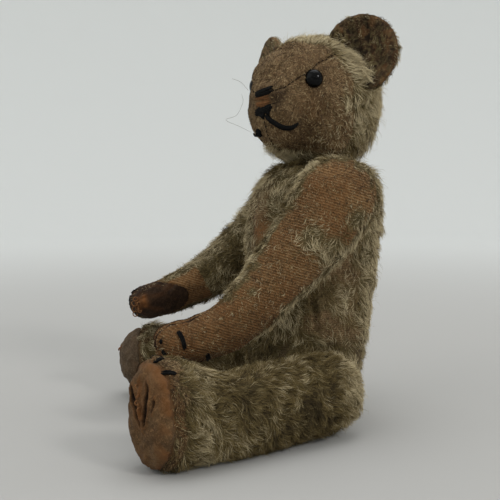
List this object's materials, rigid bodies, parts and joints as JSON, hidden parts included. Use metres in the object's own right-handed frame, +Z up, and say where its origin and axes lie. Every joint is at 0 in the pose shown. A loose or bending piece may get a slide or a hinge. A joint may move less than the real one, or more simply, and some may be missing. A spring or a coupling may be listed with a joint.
{
  "type": "teddy bear",
  "caption": "Small worn plush teddy bear, sitting, with bald patches, felt pads and disc joints at the neck, shoulders and hips.",
  "frame": {"origin": "on the floor under the seat, in the middle of the flat underside of the torso", "axes": "+Z up; the chest faces -Y; the bear's own left is +X"},
  "size_m": [0.1336, 0.1087, 0.1644],
  "materials": {
    "plush": "matted olive-gold mohair pile on a brown woven backing, bald in places",
    "ear_plush": "bald dark backing inside, matted pile behind",
    "felt": "worn wool felt, torn in places",
    "wood_wool": "packed shavings",
    "cardboard": "pressed board",
    "steel": "dull, slightly rusted",
    "eye_glass": "polished black",
    "black_thread": "waxed cotton thread"
  },
  "bodies": {
    "torso": {"torso_cover": "plush", "torso_stuffing": "wood_wool", "neck_disc_torso": "cardboard", "neck_washer_torso": "steel", "neck_pin": "steel", "shoulder_left_disc_torso": "cardboard", "shoulder_left_washer_torso": "steel", "shoulder_left_pin": "steel", "shoulder_right_disc_torso": "cardboard", "shoulder_right_washer_torso": "steel", "shoulder_right_pin": "steel", "hip_left_disc_torso": "cardboard", "hip_left_washer_torso": "steel", "hip_left_pin": "steel", "hip_right_disc_torso": "cardboard", "hip_right_washer_torso": "steel", "hip_right_pin": "steel"},
    "head": {"head_cover": "plush", "head_stuffing": "wood_wool", "neck_disc_head": "cardboard", "neck_washer_head": "steel", "ear_left": "ear_plush", "ear_right": "ear_plush", "eye_left": "eye_glass", "eye_right": "eye_glass", "nose_stitch_upper": "black_thread", "nose_stitch_lower": "black_thread", "mouth_stitch_left": "black_thread", "mouth_stitch_right": "black_thread"},
    "arm_left": {"arm_cover_left": "plush", "arm_stuffing_left": "wood_wool", "paw_pad_left": "felt", "shoulder_left_disc_arm": "cardboard", "shoulder_left_washer_arm": "steel"},
    "arm_right": {"arm_cover_right": "plush", "arm_stuffing_right": "wood_wool", "paw_pad_right": "felt", "shoulder_right_disc_arm": "cardboard", "shoulder_right_washer_arm": "steel"},
    "leg_left": {"leg_cover_left": "plush", "leg_stuffing_left": "wood_wool", "foot_pad_left": "felt", "hip_left_disc_leg": "cardboard", "hip_left_washer_leg": "steel"},
    "leg_right": {"leg_cover_right": "plush", "leg_stuffing_right": "wood_wool", "foot_pad_right": "felt", "hip_right_disc_leg": "cardboard", "hip_right_washer_leg": "steel"}
  },
  "joints": [
    {"name": "neck_turn", "type": "hinge", "parent": "torso", "child": "head", "pos_m": [0, 0.002, 0.105], "axis": [0, 0, 1], "continuous": true},
    {"name": "shoulder_left_swing", "type": "hinge", "parent": "torso", "child": "arm_left", "pos_m": [0.0218, 0.001, 0.0915], "axis": [-1, 0, 0], "range_deg": [0, 80]},
    {"name": "shoulder_right_swing", "type": "hinge", "parent": "torso", "child": "arm_right", "pos_m": [-0.0218, 0.001, 0.0915], "axis": [-1, 0, 0], "range_deg": [0, 80]},
    {"name": "hip_left_swing", "type": "hinge", "parent": "torso", "child": "leg_left", "pos_m": [0.023, -0.0072, 0.016], "axis": [0.9026, 0.4305, 0], "range_deg": [0, 100]},
    {"name": "hip_right_swing", "type": "hinge", "parent": "torso", "child": "leg_right", "pos_m": [-0.023, -0.0072, 0.016], "axis": [0.9923, -0.1236, 0], "range_deg": [0, 100]}
  ]
}
